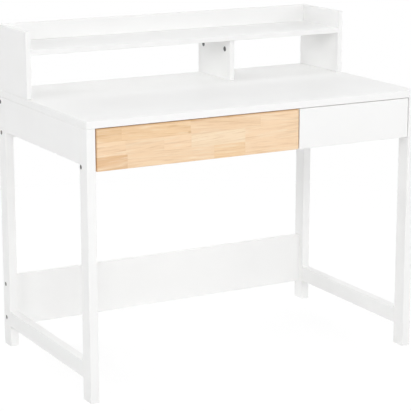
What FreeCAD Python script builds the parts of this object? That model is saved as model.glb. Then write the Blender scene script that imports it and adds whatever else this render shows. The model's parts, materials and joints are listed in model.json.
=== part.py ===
import FreeCAD, Part
import os
from math import cos, pi, sin

Vector = FreeCAD.Vector

# A free-standing desk with a shelf unit on its rear edge and two drawers under its top.
# Millimetres. X runs to the right, Y to the back and Z up, from the floor under the desk's middle.

# Desktop
desk_width = 1020.0
desk_depth = 590.0
desktop_height = 750.0
desktop_thickness = 20.0
edge_radius = 1.5

# Side frames: legs, aprons and stretchers are equally thick and flush on both faces
leg_width = 25.0
leg_depth = 45.0
side_apron_height = 97.0
stretcher_height = 45.0
stretcher_clearance = 60.0

# Boards that join the two side frames
panel_thickness = 15.0
panel_setback = 20.0
rear_apron_height = 118.0
low_panel_height = 152.0
low_panel_clearance = 56.0
front_rail_thickness = 18.0
front_rail_depth = 26.0
front_rail_setback = 24.0

# Shelf unit
hutch_height = 183.0
hutch_depth = 210.0
bay_height = 118.0
left_bay_width = 630.0
divider_depth = 190.0

# Drawer fronts
front_thickness = 15.0
front_gap = 3.0
front_top_gap = 1.5
front_height = 110.5
wide_front_width = 603.0
finger_bevel = 8.0

# Drawer boxes
drawer_side_thickness = 15.0
drawer_side_height = 70.0
drawer_depth = 420.0
drawer_travel = 280.0
bottom_thickness = 3.0
groove_depth = 5.0
groove_rise = 8.0
groove_play = 0.3

# Roller slides
slide_space = 12.7
slide_length = 400.0
slide_sheet = 1.2
slide_lift = 1.0
slide_drop = 8.0
channel_depth = 10.4
lip_gap = 1.0
ledge_width = 8.0
flange_tip = 2.6
running_gap = 0.3
roller_radius = 8.0
roller_width = 6.4
roller_inset = 12.0
roller_pin_radius = 2.0
roller_pin_head_radius = 3.5
roller_pin_head = 0.8
front_roller_offset = 2.2
rear_roller_offset = 3.6

# Play round a fastener in its hole
fit_play = 0.2

# Frame bolts and barrel nuts
bolt_radius = 3.0
bolt_head_radius = 6.0
bolt_head_height = 3.0
bolt_recess = 0.5
bolt_tip = 4.0
nut_radius = 5.0
nut_length = 12.0
nut_setback = 30.0
rear_apron_bolt_inset = 15.0
low_panel_bolt_inset = 26.0
key_width = 4.0
key_depth = 2.0

# Dowels
dowel_radius = 4.0
frame_dowel_depth = 20.0
apron_dowel_inset = 22.0
stretcher_dowel_inset = 12.0
hutch_dowel_in_face = 10.0
hutch_dowel_in_edge = 20.0
rim_dowel_offset = 320.0

# Cam fittings
cam_radius = 7.5
cam_height = 12.0
cam_recess = 0.3
cam_axis_depth = 7.5
cam_setback = 30.0
cam_slot_length = 9.0
cam_slot_width = 1.6
cam_slot_depth = 1.5
cam_pin_thread_radius = 3.0
cam_pin_thread = 10.0
cam_pin_neck_radius = 2.5
cam_pin_head_radius = 3.5
cam_pin_head = 5.0
shelf_cam_inset = 40.0
divider_cam_inset = 31.0
rim_cam_rise = 30.0
apron_cam_inset = 110.0
partition_cam_inset = 130.0
front_cam_low = 24.0
front_cam_spacing = 26.0

# Long screws
long_screw_head_radius = 5.0
long_screw_head = 3.0
long_screw_shoulder_radius = 3.5
long_screw_shoulder = 9.0
long_screw_radius = 2.5
long_screw_length = 48.0
hutch_screw_inset = 40.0
partition_screw_low = 30.0
partition_screw_spacing = 35.0
back_screw_low = 27.0
back_screw_spacing = 30.0

# Small screws
small_screw_head_radius = 3.2
small_screw_head = 1.0
small_screw_radius = 1.6
small_screw_length = 10.0
slide_screw_first = 40.0
slide_screw_spacing = 150.0
slide_screw_count = 3
narrow_slide_shift = 16.0
cabinet_screw_rise = 10.0
bottom_screw_count = 3
bottom_screw_margin = 30.0

# Limits of the desk
right = desk_width / 2
left = -right
back = desk_depth / 2
front = -back
desktop_underside = desktop_height - desktop_thickness
leg_inner = right - leg_width
front_leg_rear = front + leg_depth
rear_leg_front = back - leg_depth

# Boards between the side frames
panel_front = rear_leg_front + panel_setback
panel_rear = panel_front + panel_thickness
panel_middle = (panel_front + panel_rear) / 2
rear_apron_bottom = desktop_underside - rear_apron_height
low_panel_top = low_panel_clearance + low_panel_height
side_apron_bottom = desktop_underside - side_apron_height
stretcher_top = stretcher_clearance + stretcher_height

# Drawer fronts and what lies behind them
front_top = desktop_underside - front_top_gap
front_bottom = front_top - front_height
front_rear = front + front_thickness
rail_front = front + front_rail_setback
rail_rear = rail_front + front_rail_depth
rail_middle = (rail_front + rail_rear) / 2
rail_top = front_bottom + front_rail_thickness
wide_front_left = -leg_inner + front_gap
wide_front_right = wide_front_left + wide_front_width
narrow_front_left = wide_front_right + front_gap
narrow_front_right = leg_inner - front_gap
split = (wide_front_right + narrow_front_left) / 2
partition_left = split - panel_thickness / 2
partition_right = split + panel_thickness / 2

# Levels of the slides and the drawer boxes
slide_bottom = rail_top + slide_lift
roller_level = slide_bottom + slide_sheet + running_gap + roller_radius
flange_level = roller_level + roller_radius + running_gap
channel_height = flange_level + slide_sheet + lip_gap + slide_sheet - slide_bottom
drawer_low = slide_bottom + slide_drop
drawer_high = drawer_low + drawer_side_height
drawer_rear = front_rear + drawer_depth
groove_low = drawer_low + groove_rise
groove_high = groove_low + bottom_thickness
cabinet_slide_front = rail_front
drawer_slide_front = front_rear + running_gap
front_roller_y = cabinet_slide_front + roller_inset
rear_roller_y = drawer_slide_front + slide_length - roller_inset

# Shelf unit
hutch_top = desktop_height + hutch_height
hutch_front = back - hutch_depth
shelf_underside = desktop_height + bay_height
shelf_top = shelf_underside + panel_thickness
hutch_inner = right - panel_thickness
divider_left = -hutch_inner + left_bay_width
divider_right = divider_left + panel_thickness
divider_front = back - divider_depth
rim_front = back - panel_thickness

X = Vector(1, 0, 0)
Y = Vector(0, 1, 0)
Z = Vector(0, 0, 1)

pieces = {}
holes = {}


def add(node, solid):
    """Puts a solid into a node."""
    pieces.setdefault(node, []).append(solid)


def drill(hole, *nodes):
    """Keeps a hole to be cut from the boards that it passes through."""
    for node in nodes:
        holes.setdefault(node, []).append(hole)


def block(x, y, z):
    """A plain block between two limits on each axis."""
    return Part.makeBox(x[1] - x[0], y[1] - y[0], z[1] - z[0], Vector(x[0], y[0], z[0]))


def board(node, x, y, z, eased):
    """A board whose edges along the named axes are rounded over."""
    solid = block(x, y, z)
    thinnest = min(x[1] - x[0], y[1] - y[0], z[1] - z[0])
    axes = [{"x": X, "y": Y, "z": Z}[letter] for letter in eased]
    edges = [edge for edge in solid.Edges if any(along(edge, axis) for axis in axes)]
    add(node, solid.makeFillet(min(edge_radius, thinnest / 3), edges))


def along(edge, axis):
    """Whether a straight edge runs along an axis."""
    run = edge.Vertexes[1].Point - edge.Vertexes[0].Point
    return abs(run.dot(axis)) > run.Length / 2


def turned(start, direction, *steps):
    """A round piece made of steps of a radius and a length, one after another."""
    solids = []
    for radius, length in steps:
        solids.append(Part.makeCylinder(radius, length, start, direction))
        start = start + direction * length
    return solids[0].multiFuse(solids[1:]).removeSplitter() if len(solids) > 1 else solids[0]


def key_socket(start, direction):
    """The six-sided socket for a key in a screw's head."""
    side = Y if abs(direction.dot(Y)) < 0.5 else X
    other = direction.cross(side)
    reach = key_width / 2 / cos(pi / 6)
    turns = [corner * pi / 3 for corner in range(7)]
    corners = [start + (side * cos(turn) + other * sin(turn)) * reach for turn in turns]
    return Part.Face(Part.makePolygon(corners)).extrude(direction * key_depth)


def frame_bolt(start, inward, nut_face, half_board, leg, panel):
    """A bolt through a leg into a barrel nut, which enters the panel from its nut face."""
    length = leg_width - bolt_recess - bolt_head_height + nut_setback + nut_radius + bolt_tip
    head = start + inward * bolt_recess
    bolt = turned(head, inward, (bolt_head_radius, bolt_head_height), (bolt_radius, length))
    add("frame_bolts", bolt.cut(key_socket(head, inward)))
    well = (bolt_head_radius + fit_play, bolt_recess + bolt_head_height)
    shaft_hole = turned(start, inward, well, (bolt_radius + fit_play, length + fit_play))
    drill(shaft_hole, leg, panel)
    middle = start + inward * (leg_width + nut_setback)
    nut = turned(middle + nut_face * (nut_length / 2), -nut_face, (nut_radius, nut_length))
    add("barrel_nuts", nut.cut(shaft_hole))
    nut_hole_depth = half_board + nut_length / 2 + fit_play
    drill(turned(middle + nut_face * half_board, -nut_face, (nut_radius + fit_play, nut_hole_depth)), panel)


def dowel(node, joint, direction, before, after, *boards):
    """A round dowel across a joint, with its depth before and after the joint."""
    add(node, turned(joint - direction * before, direction, (dowel_radius, before + after)))
    start = joint - direction * (before + fit_play)
    drill(turned(start, direction, (dowel_radius + fit_play, before + after + 2 * fit_play)), *boards)


def cam_joint(prefix, joint, inward, face, pin_board, cam_board):
    """A pin fixed in one board and held by a cam disc that is let into a face of the other board."""
    start = joint - inward * cam_pin_thread
    neck = cam_setback - cam_pin_head / 2
    thread = (cam_pin_thread_radius, cam_pin_thread)
    pin = turned(start, inward, thread, (cam_pin_neck_radius, neck), (cam_pin_head_radius, cam_pin_head))
    add(prefix + "cam_pins", pin)
    thread_hole = (cam_pin_thread_radius + fit_play, cam_pin_thread + fit_play)
    head_hole = (cam_pin_head_radius + fit_play, cam_setback + cam_pin_head / 2 + fit_play)
    drill(turned(start - inward * fit_play, inward, thread_hole, head_hole), pin_board, cam_board)
    middle = joint + inward * cam_setback
    mouth = middle + face * cam_axis_depth
    drill(turned(mouth, -face, (cam_radius + fit_play, cam_recess + cam_height + fit_play)), cam_board)
    top = mouth - face * cam_recess
    disc = turned(top, -face, (cam_radius, cam_height))
    across = inward.cross(face)
    slots = [slot_arm(top, inward, across, face), slot_arm(top, across, inward, face)]
    add(prefix + "cam_discs", disc.cut([turned(joint, inward, head_hole)] + slots))


def slot_arm(middle, run, across, face):
    """One arm of the cross slot in a cam disc's face."""
    reach = run * (cam_slot_length / 2) + across * (cam_slot_width / 2) + face * cam_slot_depth
    reach = Vector(abs(reach.x), abs(reach.y), abs(reach.z))
    return Part.makeBox(2 * reach.x, 2 * reach.y, 2 * reach.z, middle - reach)


def long_screw(node, start, direction, *boards):
    """A screw with a sunk head, flush with the face that it starts from."""
    thread = long_screw_length - long_screw_head - long_screw_shoulder
    steps = [
        (long_screw_head_radius, long_screw_head),
        (long_screw_shoulder_radius, long_screw_shoulder),
        (long_screw_radius, thread),
    ]
    add(node, turned(start, direction, *steps).cut(key_socket(start, direction)))
    steps[-1] = (long_screw_radius, thread + fit_play)
    drill(turned(start, direction, *[(radius + fit_play, length) for radius, length in steps]), *boards)


def small_screw(node, start, direction, *boards):
    """A screw whose flat head lies on a face."""
    head = (small_screw_head_radius, small_screw_head)
    shank = (small_screw_radius, small_screw_length)
    add(node, turned(start - direction * small_screw_head, direction, head, shank))
    drill(turned(start, direction, (small_screw_radius + fit_play, small_screw_length + fit_play)), *boards)


def make_desktop():
    board("desktop", (left, right), (front, back), (desktop_underside, desktop_height), "xyz")


def make_side_frame(side, sign):
    """Legs, apron and stretcher of one side, doweled together."""
    x = sorted((sign * leg_inner, sign * right))
    middle = sign * (right - leg_width / 2)
    between = (front_leg_rear, rear_leg_front)
    board(side + "_front_leg", x, (front, front_leg_rear), (0, desktop_underside), "z")
    board(side + "_rear_leg", x, (rear_leg_front, back), (0, desktop_underside), "z")
    board(side + "_side_apron", x, between, (side_apron_bottom, desktop_underside), "y")
    board(side + "_side_stretcher", x, between, (stretcher_clearance, stretcher_top), "y")
    rails = [
        ("_side_apron", side_apron_bottom, desktop_underside, apron_dowel_inset),
        ("_side_stretcher", stretcher_clearance, stretcher_top, stretcher_dowel_inset),
    ]
    for leg, joint in (("_front_leg", front_leg_rear), ("_rear_leg", rear_leg_front)):
        for rail, bottom, top, inset in rails:
            for level in (bottom + inset, top - inset):
                place = Vector(middle, joint, level)
                depth = frame_dowel_depth
                dowel("side_frame_dowels", place, Y, depth, depth, side + leg, side + rail)


def make_cross_boards():
    """Rear apron, low back panel and front rail, bolted through the legs at both ends."""
    x = (-leg_inner, leg_inner)
    panel = (panel_front, panel_rear)
    board("rear_apron", x, panel, (rear_apron_bottom, desktop_underside), "x")
    board("low_back_panel", x, panel, (low_panel_clearance, low_panel_top), "x")
    board("front_rail", x, (rail_front, rail_rear), (front_bottom, rail_top), "x")
    rear_boards = [
        ("rear_apron", rear_apron_bottom, desktop_underside, rear_apron_bolt_inset),
        ("low_back_panel", low_panel_clearance, low_panel_top, low_panel_bolt_inset),
    ]
    rail_half = front_rail_thickness / 2
    for side, sign in (("left", -1), ("right", 1)):
        inward = X * -sign
        for node, bottom, top, inset in rear_boards:
            for level in (bottom + inset, top - inset):
                start = Vector(sign * right, panel_middle, level)
                frame_bolt(start, inward, Y, panel_thickness / 2, side + "_rear_leg", node)
        start = Vector(sign * right, rail_middle, rail_top - rail_half)
        frame_bolt(start, inward, -Z, rail_half, side + "_front_leg", "front_rail")


def make_partition():
    """The board between the drawers, screwed to the front rail and the rear apron."""
    y = (rail_front, panel_front)
    board("drawer_partition", (partition_left, partition_right), y, (rail_top, desktop_underside), "y")
    long_screw("long_screws", Vector(split, rail_middle, front_bottom), Z, "front_rail", "drawer_partition")
    for step in range(2):
        level = rail_top + partition_screw_low + step * partition_screw_spacing
        long_screw("long_screws", Vector(split, panel_rear, level), -Y, "rear_apron", "drawer_partition")


def make_desktop_fittings():
    """Cams that draw the desktop down on the aprons and the partition."""
    for side, sign in (("left", -1), ("right", 1)):
        x = sign * (leg_inner + cam_axis_depth)
        for y in (front_leg_rear + apron_cam_inset, rear_leg_front - apron_cam_inset):
            joint = Vector(x, y, desktop_underside)
            cam_joint("", joint, -Z, X * -sign, "desktop", side + "_side_apron")
        partition_face = partition_left if sign < 0 else partition_right
        x = (sign * leg_inner + partition_face) / 2
        joint = Vector(x, panel_front + cam_axis_depth, desktop_underside)
        cam_joint("", joint, -Z, -Y, "desktop", "rear_apron")
    for y in (rail_front + partition_cam_inset, panel_front - partition_cam_inset):
        joint = Vector(partition_right - cam_axis_depth, y, desktop_underside)
        cam_joint("", joint, -Z, X, "desktop", "drawer_partition")


def make_hutch():
    """The shelf unit: two sides, a shelf with a rim, and a divider under the shelf."""
    y = (hutch_front, back)
    board("hutch_left_side", (left, -hutch_inner), y, (desktop_height, hutch_top), "yz")
    board("hutch_right_side", (hutch_inner, right), y, (desktop_height, hutch_top), "yz")
    inner = (-hutch_inner, hutch_inner)
    board("hutch_shelf", inner, y, (shelf_underside, shelf_top), "x")
    board("hutch_back_rim", inner, (rim_front, back), (shelf_top, hutch_top), "x")
    divider = (divider_left, divider_right)
    board("hutch_divider", divider, (divider_front, back), (desktop_height, shelf_underside), "z")


def make_hutch_fittings():
    """Cams, dowels and screws of the shelf unit."""
    side_middle = right - panel_thickness / 2
    middle_y = (hutch_front + back) / 2
    face, edge = hutch_dowel_in_face, hutch_dowel_in_edge
    for sign, side in ((-1, "hutch_left_side"), (1, "hutch_right_side")):
        inward = X * -sign
        for y in (hutch_front + shelf_cam_inset, back - shelf_cam_inset):
            joint = Vector(sign * hutch_inner, y, shelf_underside + cam_axis_depth)
            cam_joint("", joint, inward, -Z, side, "hutch_shelf")
        rim_joint = Vector(sign * hutch_inner, back - cam_axis_depth, shelf_top + rim_cam_rise)
        cam_joint("", rim_joint, inward, Y, side, "hutch_back_rim")
        shelf_end = Vector(sign * hutch_inner, middle_y, shelf_underside + panel_thickness / 2)
        dowel("hutch_dowels", shelf_end, inward, face, edge, side, "hutch_shelf")
        foot = Vector(sign * side_middle, middle_y, desktop_height)
        dowel("hutch_dowels", foot, Z, face, edge, "desktop", side)
        for y in (hutch_front + hutch_screw_inset, back - hutch_screw_inset):
            long_screw("long_screws", Vector(sign * side_middle, y, desktop_underside), Z, "desktop", side)
        rim_foot = Vector(sign * rim_dowel_offset, (rim_front + back) / 2, shelf_top)
        dowel("hutch_dowels", rim_foot, Z, face, edge, "hutch_shelf", "hutch_back_rim")
    divider_middle = (divider_left + divider_right) / 2
    for y in (divider_front + divider_cam_inset, back - divider_cam_inset):
        joint = Vector(divider_left + cam_axis_depth, y, shelf_underside)
        cam_joint("", joint, -Z, -X, "hutch_shelf", "hutch_divider")
        start = Vector(divider_middle, y, desktop_underside)
        long_screw("long_screws", start, Z, "desktop", "hutch_divider")
    foot = Vector(divider_middle, (divider_front + back) / 2, desktop_height)
    dowel("hutch_dowels", foot, Z, face, edge, "desktop", "hutch_divider")


def profile(face_x, toward, points, y, length):
    """A bent sheet strip along Y, drawn as distances from the face that the slide is fixed to."""
    corners = [Vector(face_x + toward * distance, y, level) for distance, level in points]
    return Part.Face(Part.makePolygon(corners + corners[:1])).extrude(Y * length)


def roller(node, face_x, toward, offset, y):
    """A slide's roller with the bore for its pin."""
    direction = X * toward
    start = Vector(face_x, y, roller_level) + direction * offset
    wheel = turned(start, direction, (roller_radius, roller_width))
    add(node, wheel.cut(turned(start, direction, (roller_pin_radius + fit_play, roller_width))))


def roller_pin(node, start, direction, reach, slide):
    """A roller's pin, riveted into its slide member and headed past the roller."""
    length = reach + fit_play
    steps = ((roller_pin_radius, length), (roller_pin_head_radius, roller_pin_head))
    add(node, turned(start, direction, *steps))
    drill(turned(start, direction, (roller_pin_radius + fit_play, length)), slide)


def make_slide(drawer, side, face_x, toward, carrier, screw_shift):
    """The cabinet member on its carrier and the drawer member on the drawer, with their rollers."""
    sheet = slide_sheet
    top = slide_bottom + channel_height
    cabinet = "{}_{}_cabinet_slide".format(drawer, side)
    channel = [
        (0, slide_bottom),
        (channel_depth, slide_bottom),
        (channel_depth, slide_bottom + sheet),
        (sheet, slide_bottom + sheet),
        (sheet, top - sheet),
        (channel_depth, top - sheet),
        (channel_depth, top),
        (0, top),
    ]
    add(cabinet, profile(face_x, toward, channel, cabinet_slide_front, slide_length))
    runner = "{}_{}_drawer_slide".format(drawer, side)
    web = slide_space - sheet
    ledge = slide_space + ledge_width
    angle = [
        (flange_tip, flange_level),
        (web, flange_level),
        (web, drawer_low - sheet),
        (ledge, drawer_low - sheet),
        (ledge, drawer_low),
        (slide_space, drawer_low),
        (slide_space, flange_level + sheet),
        (flange_tip, flange_level + sheet),
    ]
    add(runner, profile(face_x, toward, angle, drawer_slide_front, slide_length))
    across = X * toward
    roller(drawer + "_front_rollers", face_x, toward, front_roller_offset, front_roller_y)
    front_reach = front_roller_offset + roller_width
    front_start = Vector(face_x, front_roller_y, roller_level)
    roller_pin("cabinet_roller_pins", front_start, across, front_reach, cabinet)
    roller(drawer + "_rear_rollers", face_x, toward, rear_roller_offset, rear_roller_y)
    rear_start = Vector(face_x + toward * slide_space, rear_roller_y, roller_level)
    rear_reach = slide_space - rear_roller_offset
    roller_pin(drawer + "_drawer_roller_pins", rear_start, -across, rear_reach, runner)
    box_side = "{}_drawer_{}_side".format(drawer, side)
    cabinet_level = slide_bottom + cabinet_screw_rise
    web_middle = (drawer_low + flange_level) / 2
    for step in range(slide_screw_count):
        run = slide_screw_first + step * slide_screw_spacing
        y = cabinet_slide_front + run + screw_shift
        place = Vector(face_x + toward * sheet, y, cabinet_level)
        small_screw("cabinet_slide_screws", place, -across, cabinet, carrier)
        y = drawer_slide_front + run
        place = Vector(face_x + toward * web, y, web_middle)
        small_screw(drawer + "_drawer_small_screws", place, across, runner, box_side)


def make_drawer(name, front_x, opening, carriers, screw_shift):
    """A drawer box with its front, its slides and its fasteners."""
    box_left = opening[0] + slide_space
    box_right = opening[1] - slide_space
    inner = (box_left + drawer_side_thickness, box_right - drawer_side_thickness)
    front_node = name + "_drawer_front"
    back_node = name + "_drawer_back"
    bottom_node = name + "_drawer_bottom"
    board(front_node, front_x, (front, front_rear), (front_bottom, front_top), "xyz")
    bevel = [
        Vector(front_x[0], front_rear - finger_bevel, front_bottom),
        Vector(front_x[0], front_rear, front_bottom),
        Vector(front_x[0], front_rear, front_bottom + finger_bevel),
    ]
    drill(Part.Face(Part.makePolygon(bevel + bevel[:1])).extrude(X * (front_x[1] - front_x[0])), front_node)
    length = (front_rear, drawer_rear)
    height = (drawer_low, drawer_high)
    board(name + "_drawer_left_side", (box_left, inner[0]), length, height, "y")
    board(name + "_drawer_right_side", (inner[1], box_right), length, height, "y")
    back_y = (drawer_rear - drawer_side_thickness, drawer_rear)
    board(back_node, inner, back_y, (groove_high, drawer_high), "x")
    groove_x = (inner[0] - groove_depth, inner[1] + groove_depth)
    groove_y = (front_rear - groove_depth, drawer_rear)
    groove_z = (groove_low - groove_play, groove_high)
    sides = (name + "_drawer_left_side", name + "_drawer_right_side")
    drill(block(groove_x, groove_y, groove_z), front_node, *sides)
    bottom_x = (groove_x[0] + groove_play, groove_x[1] - groove_play)
    add(bottom_node, block(bottom_x, (groove_y[0] + groove_play, drawer_rear), (groove_low, groove_high)))
    back_middle = drawer_rear - drawer_side_thickness / 2
    spread = inner[1] - inner[0] - 2 * bottom_screw_margin
    for step in range(bottom_screw_count):
        x = inner[0] + bottom_screw_margin + spread * step / (bottom_screw_count - 1)
        place = Vector(x, back_middle, groove_low)
        small_screw(name + "_drawer_small_screws", place, Z, bottom_node, back_node)
    ends = (("left", box_left, inner[0], X), ("right", box_right, inner[1], -X))
    for (side, outer_x, inner_x, inward), face_x, carrier in zip(ends, opening, carriers):
        box_side = "{}_drawer_{}_side".format(name, side)
        for step in range(2):
            level = drawer_low + back_screw_low + step * back_screw_spacing
            place = Vector(outer_x, back_middle, level)
            long_screw(name + "_drawer_back_screws", place, inward, box_side, back_node)
            level = drawer_low + front_cam_low + step * front_cam_spacing
            joint = Vector(inner_x, front_rear, level) - inward * cam_axis_depth
            cam_joint(name + "_drawer_", joint, Y, inward, front_node, box_side)
        make_slide(name, side, face_x, inward.x, carrier, screw_shift)


def make_drawers():
    wide_front = (wide_front_left, wide_front_right)
    wide_carriers = ("left_side_apron", "drawer_partition")
    make_drawer("wide", wide_front, (-leg_inner, partition_left), wide_carriers, 0)
    narrow_front = (narrow_front_left, narrow_front_right)
    narrow_carriers = ("drawer_partition", "right_side_apron")
    make_drawer("narrow", narrow_front, (partition_right, leg_inner), narrow_carriers, narrow_slide_shift)


def export_parts():
    """Cuts the holes and writes each node."""
    os.makedirs("parts", exist_ok=True)
    for node, solids in pieces.items():
        if node in holes:
            solids = [solid.cut(holes[node]) for solid in solids]
        shape = Part.makeCompound(solids) if len(solids) > 1 else solids[0]
        sound = shape.isValid() and len(shape.Solids) == len(solids)
        verdict = "sound" if sound else "FAULTY"
        print("{:28s} {:3d} solids {:10.0f} mm3 {}".format(node, len(shape.Solids), shape.Volume, verdict))
        shape.exportStep("parts/{}.step".format(node))


make_desktop()
make_side_frame("left", -1)
make_side_frame("right", 1)
make_cross_boards()
make_partition()
make_desktop_fittings()
make_hutch()
make_hutch_fittings()
make_drawers()
export_parts()
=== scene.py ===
"""Looks of the white computer desk: a finish for each piece, the floor, the light and the camera."""
import json
import math

import bpy
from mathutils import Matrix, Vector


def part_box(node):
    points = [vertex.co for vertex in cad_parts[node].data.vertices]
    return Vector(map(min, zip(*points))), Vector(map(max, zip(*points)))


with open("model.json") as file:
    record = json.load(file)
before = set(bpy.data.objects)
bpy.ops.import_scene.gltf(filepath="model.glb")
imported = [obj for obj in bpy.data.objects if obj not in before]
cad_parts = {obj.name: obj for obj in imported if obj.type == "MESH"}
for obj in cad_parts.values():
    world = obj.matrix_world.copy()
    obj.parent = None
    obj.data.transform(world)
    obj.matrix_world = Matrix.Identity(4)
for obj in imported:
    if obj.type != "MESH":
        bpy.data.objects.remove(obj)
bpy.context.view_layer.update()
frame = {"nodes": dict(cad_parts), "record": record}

# Camera, fitted to the edges of the desk in the photograph: place in metres, turn and dip in degrees
CAMERA_PLACE = (-2.2087, -3.9827, 1.4998)
CAMERA_TURN = 28.969
CAMERA_DIP = 13.413
FOCAL_PIXELS = 1637.7
PHOTO_PIXELS = 411
SENSOR_WIDTH = 36.0

# Light: each lamp's name, side and height in degrees from the desk's front, size in metres, and level
SKY_LEVEL = 0.15
LAMPS = (
    ("left_lamp", -70.0, 20.0, 1.4, 0.195),
    ("front_lamp", -25.0, 24.0, 1.4, 0.23),
    ("right_front_lamp", 15.0, 25.0, 3.0, 0.2),
    ("right_low_lamp", 40.0, 18.0, 3.0, 0.115),
    ("right_lamp", 90.0, 25.0, 3.0, 0.315),
    ("left_back_lamp", -135.0, 30.0, 3.0, 0.223),
    ("back_lamp", 180.0, 18.0, 3.0, 0.385),
    ("top_lamp", 0.0, 90.0, 3.0, 0.25),
)
LAMP_DISTANCE = 5.0
DESK_MIDDLE = (0.0, 0.0, 0.5)
WHITE_BOUNCES = 8
PLAIN_WHITE = (1.0, 1.0, 1.0, 1.0)

# Floor: its shadow fades out between the near and the far distance from the desk's middle
FLOOR_SIZE = 60.0
FLOOR_BOUNCE = (0.9, 0.9, 0.9, 1.0)
FLOOR_GLOW = 0.87
FLOOR_SHADE = (0.15, 0.15, 0.15, 1.0)
SHADE_NEAR = 1.0
SHADE_FAR = 2.2

# In the finishes, lengths are in metres, and a grain is the length of a noise's grains.
# A fade is the level at which a mark starts, the level at which it is full, and its full strength if not 1.

# White paint on the boards
PAINT_WHITE = (0.93, 0.93, 0.925, 1.0)
PAINT_SHADED = (0.905, 0.905, 0.9, 1.0)
PAINT_RUBBED = (0.8, 0.79, 0.765, 1.0)
PAINT_ROUGHNESS = 0.35
CLOUD_GRAIN = 0.15
CLOUD_FADE = (0.3, 0.75, 0.6)
SMUDGE_GRAIN = 0.06
SMUDGE_ROUGHNESS = 0.12
RUB_REACH = 0.0022
RUB_EVEN = 0.08
RUB_GRAIN = 0.025
RUB_FADE = (0.5, 0.75, 0.4)
RUB_ROUGHNESS = 0.15
PEEL_GRAIN = 0.003
PEEL_DEPTH = 0.00003

# Finger-jointed wood of the wide drawer's front: each stave's blocks, by where they start and their tone
AMBER = (0.8, 0.53, 0.307, 1.0)
HONEY = (0.85, 0.595, 0.353, 1.0)
TAN = (0.882, 0.627, 0.38, 1.0)
OAT = (0.894, 0.655, 0.43, 1.0)
ROSE = (0.92, 0.68, 0.453, 1.0)
CREAM = (0.93, 0.732, 0.514, 1.0)
LOW_STAVE = ((0.0, AMBER), (0.141, OAT), (0.566, TAN), (0.72, ROSE))
MIDDLE_STAVE = ((0.0, ROSE), (0.136, OAT), (0.318, ROSE), (0.45, CREAM), (0.72, ROSE))
TOP_STAVE = ((0.0, HONEY), (0.116, TAN), (0.447, OAT), (0.8, ROSE))
STAVES = (LOW_STAVE, MIDDLE_STAVE, TOP_STAVE)
FINGER_PITCH = 0.005
FINGER_LENGTH = 0.009
GLUE_LINE = 0.0004
GLUE_BROWN = 0.18

# Grain of that wood: a block's tone and its stave draw its own spot in the grain and its slant
RED_DRAW = 17.3
GREEN_DRAW = 41.7
BLUE_DRAW = 29.1
STAVE_DRAW = 0.37
SPOT_STEP = (7.0, 3.0, 5.0)
SLANT_SPREAD = 0.12
WOOD_BROWN = (0.60, 0.34, 0.15, 1.0)
WOOD_PALE = (0.93, 0.77, 0.58, 1.0)
BAND_GRAIN = (0.35, 0.02, 0.016)
BAND_PALE_FADE = (0.5, 0.75, 0.4)
BAND_BROWN_FADE = (0.5, 0.28, 0.2)
FLAME_GRAIN = (0.07, 0.008, 0.006)
FLAME_PALE_FADE = (0.52, 0.7, 0.5)
FLAME_BROWN_FADE = (0.46, 0.3, 0.2)
STREAK_GRAIN = (0.09, 0.004, 0.0032)
STREAK_FADE = (0.5, 0.75, 0.4)
STREAK_ROUGHNESS = 0.12
STREAK_RELIEF = 0.4
PORE_GRAIN = (0.016, 0.0009, 0.0007)
PORE_FADE = (0.6, 0.72)
PORE_BROWN = 0.12
PORE_ROUGHNESS = 0.1
PORE_DEPTH = 0.00005

# Knot of that wood, painted shade along its ends and under its top edge where the gaps lie, and its lacquer
KNOT_ALONG = 0.268
KNOT_BELOW_TOP = 0.032
KNOT_LENGTH = 0.008
KNOT_HEIGHT = 0.005
KNOT_FADE = (1.0, 0.2, 0.4)
# Painted shade: the wood darkens towards its ends and its top edge, standing in for the shade in the gaps
# there
END_GAP_SHADE_FADE = (0.004, 0.0, 0.45)
TOP_GAP_SHADE_FADE = (0.006, 0.0, 0.7)
WOOD_ROUGHNESS = 0.42
LACQUER_WEIGHT = 0.12
LACQUER_ROUGHNESS = 0.35

# White faced board of the drawer boxes
BOARD_WHITE = (0.92, 0.92, 0.91, 1.0)
BOARD_GREY = (0.86, 0.86, 0.85, 1.0)
BOARD_ROUGHNESS = 0.5
BOARD_CLOUD_GREY = 0.2
BOARD_CLOUD_ROUGHNESS = 0.1
SPECK_GRAIN = 0.0012
SPECK_FADE = (0.55, 0.8, 0.25)
BOARD_SKIN_GRAIN = 0.0015
BOARD_SKIN_DEPTH = 0.00003

# White coated steel of the slides
COAT_WHITE = (0.88, 0.88, 0.87, 1.0)
COAT_WORN = (0.66, 0.66, 0.66, 1.0)
COAT_ROUGHNESS = 0.42
COAT_GRAIN = 0.0008
COAT_GRAIN_ROUGHNESS = 0.12
COAT_DEPTH = 0.00003
MARK_GRAIN = (0.002, 0.12, 0.002)
MARK_FADE = (0.6, 0.8)
MARK_WEAR = 0.35
MARK_POLISH = 0.1

# Nylon of the rollers
NYLON_WHITE = (0.9, 0.9, 0.88, 1.0)
NYLON_WARM = (0.82, 0.81, 0.77, 1.0)
NYLON_ROUGHNESS = 0.42
NYLON_GRAIN = 0.0006
NYLON_DEPTH = 0.00002
FLOW_GRAIN = 0.006
FLOW_FADE = (0.4, 0.7, 0.5)
FLOW_ROUGHNESS = 0.15

# Metal of the fasteners
STEEL_DARK = (0.12, 0.115, 0.11, 1.0)
STEEL_DARK_RUBBED = (0.3, 0.29, 0.28, 1.0)
ZINC_CAST = (0.26, 0.26, 0.265, 1.0)
ZINC_DULL = (0.18, 0.18, 0.183, 1.0)
STEEL_BRIGHT = (0.68, 0.68, 0.7, 1.0)
STEEL_BRIGHT_DULL = (0.52, 0.53, 0.56, 1.0)
GRAINS_PER_PATCH = 6
PATCH_FADE = (0.35, 0.7)
PATCH_ROUGHNESS = 0.1
METAL_GRAIN_ROUGHNESS = 0.08

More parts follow.
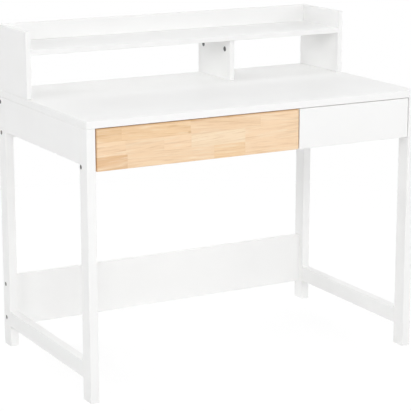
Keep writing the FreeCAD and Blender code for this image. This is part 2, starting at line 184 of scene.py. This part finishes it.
# Beech of the dowels
BEECH = (0.8, 0.66, 0.46, 1.0)
BEECH_BROWN = (0.62, 0.46, 0.28, 1.0)
BEECH_ROUGHNESS = 0.6
BEECH_DEPTH = 0.00006
FLECK_GRAIN = (0.004, 0.0006, 0.0006)
FLECK_FADE = (0.58, 0.72)
FLECK_BROWN = 0.5
RING_GRAIN = (0.05, 0.003, 0.003)
RING_BROWN = 0.3
RING_ROUGHNESS = 0.1


# Nodes written as plain Python

class Value:
    """What a socket gives at each point of a surface; maths on it adds Math nodes."""

    def __init__(self, nodes, socket):
        self.nodes = nodes
        self.socket = socket

    def math(self, operation, *terms):
        return self.nodes.add("ShaderNodeMath", {"operation": operation}, dict(enumerate(terms)))

    def __add__(self, other):
        return self.math("ADD", self, other)

    def __radd__(self, other):
        return self.math("ADD", other, self)

    def __sub__(self, other):
        return self.math("SUBTRACT", self, other)

    def __rsub__(self, other):
        return self.math("SUBTRACT", other, self)

    def __mul__(self, other):
        return self.math("MULTIPLY", self, other)

    def __rmul__(self, other):
        return self.math("MULTIPLY", other, self)

    def __truediv__(self, other):
        return self.math("DIVIDE", self, other)

    def __mod__(self, other):
        return self.math("FLOORED_MODULO", self, other)

    def __gt__(self, other):
        return self.math("GREATER_THAN", self, other)

    def __abs__(self):
        return self.math("ABSOLUTE", self)

    def least(self, other):
        return self.math("MINIMUM", self, other)

    def most(self, other):
        return self.math("MAXIMUM", self, other)

    def root(self):
        return self.math("SQRT", self)


class Nodes:
    """The node tree of a finish or of the world."""

    def __init__(self, owner):
        owner.use_nodes = True
        self.tree = owner.node_tree
        self.tree.nodes.clear()

    def add(self, kind, settings=None, sockets=None, out=0):
        """Add a node: its settings first, then the values or links of its sockets.

        What comes back is the output that out names, or a list of them where it names several.
        """
        node = self.tree.nodes.new(kind)
        for name, setting in (settings or {}).items():
            if name == "stops":
                self.set_stops(node.color_ramp.elements, setting)
            elif name == "interpolation":
                node.color_ramp.interpolation = setting
            else:
                setattr(node, name, setting)
        for name, given in (sockets or {}).items():
            if isinstance(given, Value):
                self.tree.links.new(given.socket, node.inputs[name])
            else:
                node.inputs[name].default_value = given
        if isinstance(out, tuple):
            return [Value(self, node.outputs[name]) for name in out]
        return Value(self, node.outputs[out]) if node.outputs else None

    def set_stops(self, elements, stops):
        """Give a ramp its stops, each a place from 0 to 1 and a colour."""
        elements.remove(elements[1])
        elements[0].position, elements[0].color = stops[0]
        for position, colour in stops[1:]:
            elements.new(position).color = colour

    def place(self):
        """The point's place on the desk, in metres."""
        return self.add("ShaderNodeTexCoord", out="Object")

    def split(self, vector):
        """The three numbers of a vector."""
        return self.add("ShaderNodeSeparateXYZ", {}, {0: vector}, out=("X", "Y", "Z"))

    def noise(self, grain, detail=2.0, spot=None):
        """Noise about 0.5 with grains of that length in metres, or one length each for x, y and z."""
        lengths = grain if isinstance(grain, tuple) else (grain, grain, grain)
        scale = tuple(1.0 / length for length in lengths)
        spot = self.add("ShaderNodeMapping", {}, {"Vector": spot or self.place(), "Scale": scale})
        return self.add("ShaderNodeTexNoise", {}, {"Vector": spot, "Scale": 1.0, "Detail": detail})

    def ease(self, value, start, end, strength=1.0):
        """A smooth step from 0 at start to strength at end, which may be the lower of the two."""
        sockets = {"Value": value, "From Min": start, "From Max": end, "To Max": strength}
        return self.add("ShaderNodeMapRange", {"interpolation_type": "SMOOTHSTEP"}, sockets)

    def blend(self, share, first, second):
        """The first colour, and the second where share is 1."""
        return self.add("ShaderNodeMix", {"data_type": "RGBA"}, {0: share, 6: first, 7: second}, out=2)

    def surface(self, colour, roughness, height, depth, **constants):
        """Finish the surface with colour, roughness and a bump of that depth in metres."""
        bump = self.add("ShaderNodeBump", {}, {"Strength": 1.0, "Distance": depth, "Height": height})
        sockets = {"Base Color": colour, "Roughness": roughness, "Normal": bump}
        sockets.update({name.replace("_", " "): constant for name, constant in constants.items()})
        shader = self.add("ShaderNodeBsdfPrincipled", {}, sockets)
        self.add("ShaderNodeOutputMaterial", {}, {"Surface": shader})


def new_finish(name):
    """A new material and its empty node tree."""
    material = bpy.data.materials.new(name)
    return material, Nodes(material)


# White paint

def edge_gap(nodes, node):
    """How far each point of a board lies from the nearest edge of its box, in metres."""
    low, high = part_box(node)
    gaps = []
    for at, start, end in zip(nodes.split(nodes.place()), low, high):
        gaps.append((end - start) / 2 - abs(at - (start + end) / 2))
    near = gaps[0].least(gaps[1])
    far = gaps[0].most(gaps[1])
    return near.most(far.least(gaps[2]))


def white_paint(node):
    """Satin white paint: a fine sprayed skin, faint clouds and smudges, and edges a little rubbed."""
    material, nodes = new_finish("white_paint_" + node)
    clouds = nodes.ease(nodes.noise(CLOUD_GRAIN), *CLOUD_FADE)
    smudges = nodes.noise(SMUDGE_GRAIN, detail=4.0)
    edges = nodes.ease(edge_gap(nodes, node), RUB_REACH, 0.0)
    patches = nodes.ease(nodes.noise(RUB_GRAIN, detail=4.0), *RUB_FADE)
    worn = edges * (RUB_EVEN + patches)
    colour = nodes.blend(worn, nodes.blend(clouds, PAINT_WHITE, PAINT_SHADED), PAINT_RUBBED)
    roughness = PAINT_ROUGHNESS + SMUDGE_ROUGHNESS * smudges + RUB_ROUGHNESS * worn
    skin = nodes.noise(PEEL_GRAIN, detail=3.0)
    nodes.surface(colour, roughness, skin, PEEL_DEPTH)
    return material


# Finger-jointed wood

def block_tone(nodes, stave, along):
    """The tone of the block of a stave at each point along it."""
    settings = {"interpolation": "CONSTANT", "stops": stave}
    return nodes.add("ShaderNodeValToRGB", settings, {"Fac": along})


def joint_line(nodes, stave, along, length):
    """A thin glue line at each joint of a stave."""
    gap = None
    for joint, _ in stave[1:]:
        reach = abs(along - joint)
        gap = gap.least(reach) if gap else reach
    return nodes.ease(gap * length, GLUE_LINE, 0.0)


def stack_staves(nodes, along, level, width, height):
    """The tones of the blocks, their glue lines, and the number of staves below each point."""
    tone = block_tone(nodes, STAVES[0], along)
    lines = joint_line(nodes, STAVES[0], along, width)
    below = 0
    for number, stave in enumerate(STAVES[1:], start=1):
        above = level > number
        below = above + below
        tone = nodes.blend(above, tone, block_tone(nodes, stave, along))
        lines = lines + above * (joint_line(nodes, stave, along, width) - lines)
        seam = abs(level - number) * height / len(STAVES)
        lines = lines.most(nodes.ease(seam, GLUE_LINE, 0.0))
    return tone, lines, below


def grain_spot(nodes, place, tone, below):
    """Where a point lies in the grain: each block has a spot and a slant of its own."""
    x, y, z = place
    red, green, blue = nodes.split(tone)
    block = (red * RED_DRAW + green * GREEN_DRAW + blue * BLUE_DRAW + below * STAVE_DRAW) % 1
    slant = (block - 0.5) * SLANT_SPREAD
    along, through, up = SPOT_STEP
    sockets = {"X": x + block * along, "Y": y + block * through, "Z": z - x * slant + block * up}
    return nodes.add("ShaderNodeCombineXYZ", {}, sockets)


def jointed_wood(node):
    """Pale wood glued up from finger-jointed staves, under clear matt lacquer."""
    material, nodes = new_finish("jointed_wood_" + node)
    low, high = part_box(node)
    width = high.x - low.x
    height = high.z - low.z
    x, y, z = nodes.split(nodes.place())
    teeth = abs(((y - low.y) / FINGER_PITCH) % 1 - 0.5) - 0.5
    along = (x - low.x + teeth * FINGER_LENGTH) / width
    level = (z - low.z) / height * len(STAVES)
    tone, lines, below = stack_staves(nodes, along, level, width, height)

    spot = grain_spot(nodes, (x, y, z), tone, below)
    bands = nodes.noise(BAND_GRAIN, detail=3.0, spot=spot)
    flames = nodes.noise(FLAME_GRAIN, detail=3.0, spot=spot)
    streaks = nodes.noise(STREAK_GRAIN, detail=4.0, spot=spot)
    pores = nodes.ease(nodes.noise(PORE_GRAIN, detail=1.0, spot=spot), *PORE_FADE)
    # Painted shade in the gaps: darker near both ends of the front, and more so under its top edge
    end_gap_shade = nodes.ease((x - low.x).least(high.x - x), *END_GAP_SHADE_FADE)
    top_gap_shade = nodes.ease(high.z - z, *TOP_GAP_SHADE_FADE)
    knot_x = (x - low.x - KNOT_ALONG) / KNOT_LENGTH
    knot_z = (z - high.z + KNOT_BELOW_TOP) / KNOT_HEIGHT
    knot = nodes.ease((knot_x * knot_x + knot_z * knot_z).root(), *KNOT_FADE)

    paler = nodes.ease(bands, *BAND_PALE_FADE) + nodes.ease(flames, *FLAME_PALE_FADE)
    darker = nodes.ease(bands, *BAND_BROWN_FADE) + nodes.ease(flames, *FLAME_BROWN_FADE)
    darker = darker + nodes.ease(streaks, *STREAK_FADE) + pores * PORE_BROWN
    # darker also takes the painted gap shade at the ends and the top, beside the real knot and glue lines
    darker = darker + end_gap_shade.most(top_gap_shade) + knot + lines * GLUE_BROWN
    colour = nodes.blend(paler.least(1), tone, WOOD_PALE)
    colour = nodes.blend(darker.least(1), colour, WOOD_BROWN)
    roughness = WOOD_ROUGHNESS + STREAK_ROUGHNESS * streaks + PORE_ROUGHNESS * pores
    relief = streaks * STREAK_RELIEF - pores - lines
    lacquer = {"Coat_Weight": LACQUER_WEIGHT, "Coat_Roughness": LACQUER_ROUGHNESS}
    nodes.surface(colour, roughness, relief, PORE_DEPTH, **lacquer)
    return material


# Smaller finishes

def faced_board():
    """White faced board of the drawer boxes, with the fine pearl of its pressed skin."""
    material, nodes = new_finish("faced_board")
    specks = nodes.ease(nodes.noise(SPECK_GRAIN, detail=1.0), *SPECK_FADE)
    clouds = nodes.noise(CLOUD_GRAIN)
    colour = nodes.blend(specks + clouds * BOARD_CLOUD_GREY, BOARD_WHITE, BOARD_GREY)
    roughness = BOARD_ROUGHNESS + BOARD_CLOUD_ROUGHNESS * clouds
    nodes.surface(colour, roughness, nodes.noise(BOARD_SKIN_GRAIN), BOARD_SKIN_DEPTH)
    return material


def coated_steel():
    """White powder coat on sheet steel, with faint marks along the way the drawers run."""
    material, nodes = new_finish("coated_steel")
    marks = nodes.ease(nodes.noise(MARK_GRAIN, detail=4.0), *MARK_FADE)
    skin = nodes.noise(COAT_GRAIN)
    colour = nodes.blend(marks * MARK_WEAR, COAT_WHITE, COAT_WORN)
    roughness = COAT_ROUGHNESS + COAT_GRAIN_ROUGHNESS * skin - MARK_POLISH * marks
    nodes.surface(colour, roughness, skin, COAT_DEPTH)
    return material


def moulded_nylon():
    """Plain white nylon of the rollers."""
    material, nodes = new_finish("moulded_nylon")
    flow = nodes.noise(FLOW_GRAIN, detail=3.0)
    colour = nodes.blend(nodes.ease(flow, *FLOW_FADE), NYLON_WHITE, NYLON_WARM)
    roughness = NYLON_ROUGHNESS + FLOW_ROUGHNESS * flow
    nodes.surface(colour, roughness, nodes.noise(NYLON_GRAIN), NYLON_DEPTH)
    return material


def metal(name, colour, dull, grain, roughness, depth):
    """Bare or plated metal that is duller in patches, with a fine grain."""
    material, nodes = new_finish(name)
    patches = nodes.ease(nodes.noise(grain * GRAINS_PER_PATCH, detail=4.0), *PATCH_FADE)
    texture = nodes.noise(grain, detail=3.0)
    tone = nodes.blend(patches, colour, dull)
    roughness = roughness + PATCH_ROUGHNESS * patches + METAL_GRAIN_ROUGHNESS * texture
    nodes.surface(tone, roughness, texture, depth, Metallic=1.0)
    return material


def dark_plated_steel():
    """Dark plating of the frame bolts, rubbed lighter in patches."""
    tones = (STEEL_DARK, STEEL_DARK_RUBBED)
    return metal("dark_plated_steel", *tones, grain=0.0008, roughness=0.36, depth=0.00003)


def cast_zinc():
    """Grey casting of the cams."""
    tones = (ZINC_CAST, ZINC_DULL)
    return metal("cast_zinc", *tones, grain=0.0006, roughness=0.48, depth=0.00005)


def bright_zinc_plate():
    """Bright plating of the screws, pins and barrel nuts."""
    tones = (STEEL_BRIGHT, STEEL_BRIGHT_DULL)
    return metal("bright_zinc_plate", *tones, grain=0.0008, roughness=0.28, depth=0.00002)


def dowel_beech():
    """Bare beech with its short flecks."""
    material, nodes = new_finish("dowel_beech")
    flecks = nodes.ease(nodes.noise(FLECK_GRAIN, detail=2.0), *FLECK_FADE)
    rings = nodes.noise(RING_GRAIN, detail=3.0)
    colour = nodes.blend(flecks * FLECK_BROWN + rings * RING_BROWN, BEECH, BEECH_BROWN)
    roughness = BEECH_ROUGHNESS + RING_ROUGHNESS * rings
    nodes.surface(colour, roughness, rings - flecks, BEECH_DEPTH)
    return material


def dress_pieces():
    """Give every piece the finish of its slot in the record; painted boards and wood get one each."""
    shared = {
        "drawer_board": faced_board(),
        "slide_steel": coated_steel(),
        "roller_plastic": moulded_nylon(),
        "dark_steel": dark_plated_steel(),
        "cam_zinc": cast_zinc(),
        "bright_steel": bright_zinc_plate(),
        "dowel_wood": dowel_beech(),
    }
    own = {"white_paint": white_paint, "pale_wood": jointed_wood}
    for subpart in frame["record"]["subparts"]:
        node = subpart["node"]
        slot = subpart["material_slot"]
        finish = own[slot](node) if slot in own else shared[slot]
        for place in frame["nodes"][node].material_slots:
            place.material = finish


# Floor, light and camera

def seen_directly(nodes):
    """1 where the camera, a mirror or glass looks at the floor or sky, 0 where it lights the desk."""
    rays = ("Is Camera Ray", "Is Glossy Ray", "Is Transmission Ray")
    camera, mirror, glass = nodes.add("ShaderNodeLightPath", out=rays)
    return camera.most(mirror).most(glass)


def lay_floor():
    """A white floor that keeps the desk's soft shadow."""
    bpy.ops.mesh.primitive_plane_add(size=FLOOR_SIZE)
    floor = bpy.context.object
    floor.name = "floor"
    material, nodes = new_finish("white_floor")
    bounce = nodes.add("ShaderNodeBsdfDiffuse", {}, {"Color": FLOOR_BOUNCE})
    shade = nodes.add("ShaderNodeBsdfDiffuse", {}, {"Color": FLOOR_SHADE})
    glow = nodes.add("ShaderNodeEmission", {}, {"Strength": FLOOR_GLOW})
    shaded = nodes.add("ShaderNodeAddShader", {}, {0: glow, 1: shade})
    white = nodes.add("ShaderNodeEmission", {}, {"Strength": 1.0})
    away = nodes.add("ShaderNodeVectorMath", {"operation": "LENGTH"}, {0: nodes.place()}, out="Value")
    far = nodes.ease(away, SHADE_NEAR, SHADE_FAR)
    shown = nodes.add("ShaderNodeMixShader", {}, {0: far, 1: shaded, 2: white})
    mixed = nodes.add("ShaderNodeMixShader", {}, {0: seen_directly(nodes), 1: bounce, 2: shown})
    nodes.add("ShaderNodeOutputMaterial", {}, {"Surface": mixed})
    floor.data.materials.append(material)


def light_sky():
    """Even studio light from all round, seen as plain white."""
    world = bpy.data.worlds.new("studio")
    bpy.context.scene.world = world
    nodes = Nodes(world)
    light = nodes.add("ShaderNodeBackground", {}, {"Color": PLAIN_WHITE, "Strength": SKY_LEVEL})
    white = nodes.add("ShaderNodeBackground", {}, {"Color": PLAIN_WHITE, "Strength": 1.0})
    mixed = nodes.add("ShaderNodeMixShader", {}, {0: seen_directly(nodes), 1: light, 2: white})
    nodes.add("ShaderNodeOutputWorld", {}, {"Surface": mixed})


def hang_lamp(name, side, height, size, level):
    """A soft square lamp that faces the desk's middle."""
    turn = math.radians(side)
    rise = math.radians(height)
    away = (math.sin(turn) * math.cos(rise), -math.cos(turn) * math.cos(rise), math.sin(rise))
    place = [middle + LAMP_DISTANCE * step for middle, step in zip(DESK_MIDDLE, away)]
    bpy.ops.object.light_add(type="AREA", location=place, rotation=(math.pi / 2 - rise, 0.0, turn))
    lamp = bpy.context.object
    lamp.name = name
    lamp.visible_camera = False
    lamp.visible_glossy = False
    lamp.data.size = size
    # At a level of 1, this power shows a white face that is turned to the lamp as white
    lamp.data.energy = level * (math.pi * LAMP_DISTANCE) ** 2


def set_camera():
    """The camera at the photograph's viewing angle."""
    turn = (math.radians(90 - CAMERA_DIP), 0.0, -math.radians(CAMERA_TURN))
    bpy.ops.object.camera_add(location=CAMERA_PLACE, rotation=turn)
    camera = bpy.context.object
    camera.data.sensor_width = SENSOR_WIDTH
    camera.data.lens = SENSOR_WIDTH * FOCAL_PIXELS / PHOTO_PIXELS
    bpy.context.scene.camera = camera


bpy.ops.object.select_all(action="DESELECT")
dress_pieces()
lay_floor()
light_sky()
for lamp_settings in LAMPS:
    hang_lamp(*lamp_settings)
set_camera()
bpy.context.scene.cycles.diffuse_bounces = WHITE_BOUNCES
bpy.context.scene.view_settings.view_transform = "Standard"
